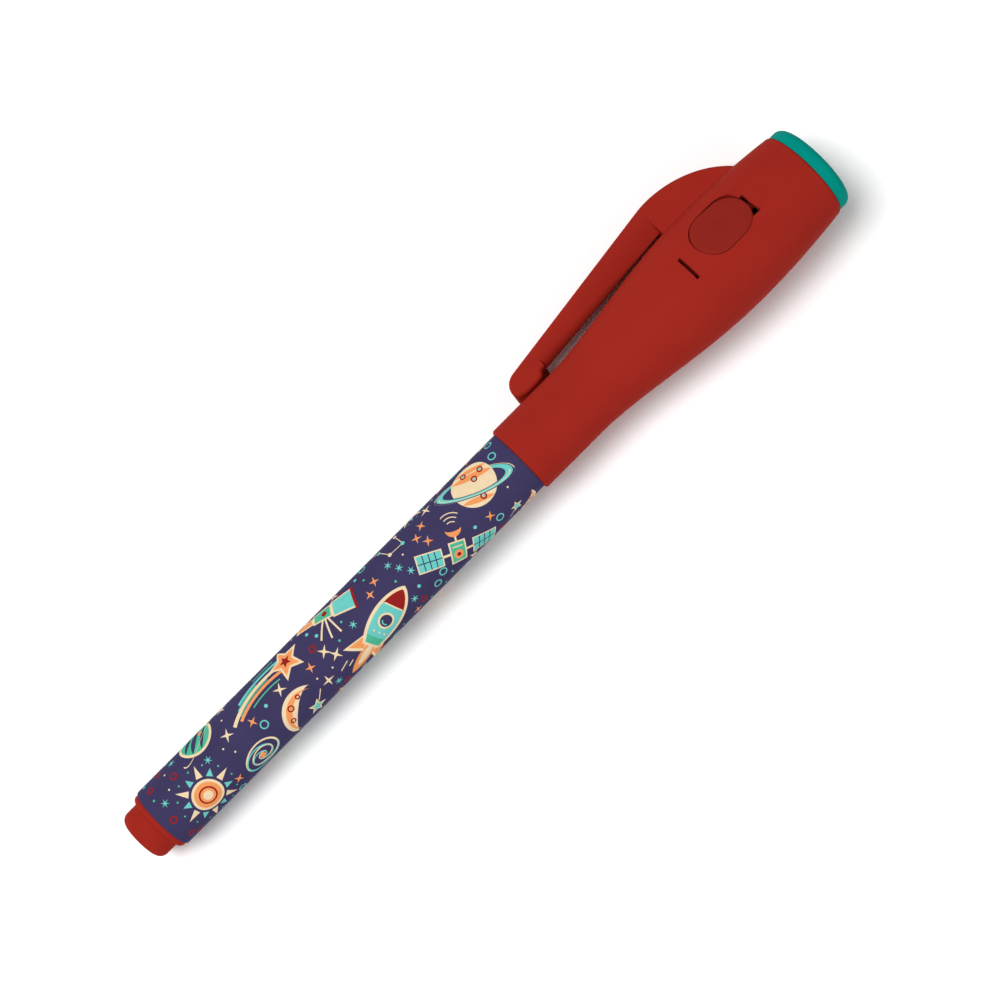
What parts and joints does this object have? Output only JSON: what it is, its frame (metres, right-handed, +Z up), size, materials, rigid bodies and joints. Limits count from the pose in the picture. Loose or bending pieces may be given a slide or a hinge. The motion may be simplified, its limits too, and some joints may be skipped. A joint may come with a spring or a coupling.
{
  "type": "invisible ink pen with uv lamp",
  "caption": "Felt-tip pen with a printed barrel and a flared pull-off cap that carries a pocket clip, an oval push button and an ultraviolet lamp in its end.",
  "frame": {"origin": "centre of the pen's footprint on the table that it lies on", "axes": "+X along the pen from its tail towards the lamp, +Y to the clip's side, +Z up from the table"},
  "size_m": [0.15, 0.024, 0.0186],
  "materials": {
    "navy_barrel": "satin navy, printed all over",
    "red_plastic": "satin red moulding",
    "teal_plastic": "satin teal moulding",
    "white_plastic": "plain white moulding",
    "black_plastic": "plain black moulding",
    "milky_plastic": "natural milky moulding",
    "film": "clear film",
    "fibre": "bundled fibre",
    "nib_fibre": "hard pressed fibre",
    "clear_lamp": "clear cast resin",
    "tinned_wire": "tinned",
    "cell_steel": "nickel-plated can",
    "spring_steel": "bright spring wire and strip",
    "contact_steel": "plated strip",
    "screw_steel": "zinc-plated"
  },
  "bodies": {
    "pen": {"barrel": "navy_barrel", "end_plug": "red_plastic", "ink_reservoir": "fibre", "reservoir_sleeve": "film", "nib_holder": "white_plastic", "nib": "nib_fibre"},
    "cap": {"cap_shell": "red_plastic", "inner_cap": "milky_plastic", "lamp_ring": "teal_plastic", "ring_screw": "screw_steel", "uv_led": "clear_lamp", "anode_lead": "tinned_wire", "cathode_lead": "tinned_wire", "led_holder": "black_plastic", "cell_holder": "black_plastic", "cell_rear": "cell_steel", "cell_middle": "cell_steel", "cell_front": "cell_steel", "cell_spring": "spring_steel", "rear_contact": "contact_steel", "front_contact": "contact_steel"},
    "button": {"light_button": "red_plastic"},
    "blade": {"switch_blade": "spring_steel"},
    "clip_arm": {"clip": "red_plastic"}
  },
  "joints": [
    {"name": "cap_pull", "type": "slide", "parent": "pen", "child": "cap", "axis": [0.9996, 0, 0.0299], "range_m": [0, 0.04]},
    {"name": "button_press", "type": "hinge", "parent": "cap", "child": "button", "pos_m": [0.04491, -0.00057, 0.01374], "axis": [0.0127, 0.9051, -0.425], "range_deg": [0, 3.24], "stiffness_Nm_per_rad": 0.12, "springref_deg": -2.86},
    {"name": "blade_bend", "type": "hinge", "parent": "cap", "child": "blade", "pos_m": [0.04894, -0.00107, 0.0128], "axis": [0.0127, 0.9051, -0.425], "range_deg": [0, 4.98]},
    {"name": "clip_flex", "type": "hinge", "parent": "cap", "child": "clip_arm", "pos_m": [0.05031, 0.01071, 0.00286], "axis": [0.0271, -0.4252, -0.9047], "range_deg": [0, 5], "stiffness_Nm_per_rad": 2}
  ],
  "couplings": [
    {"joint": "blade_bend", "follows": "button_press", "ratio": 1.5333}
  ]
}
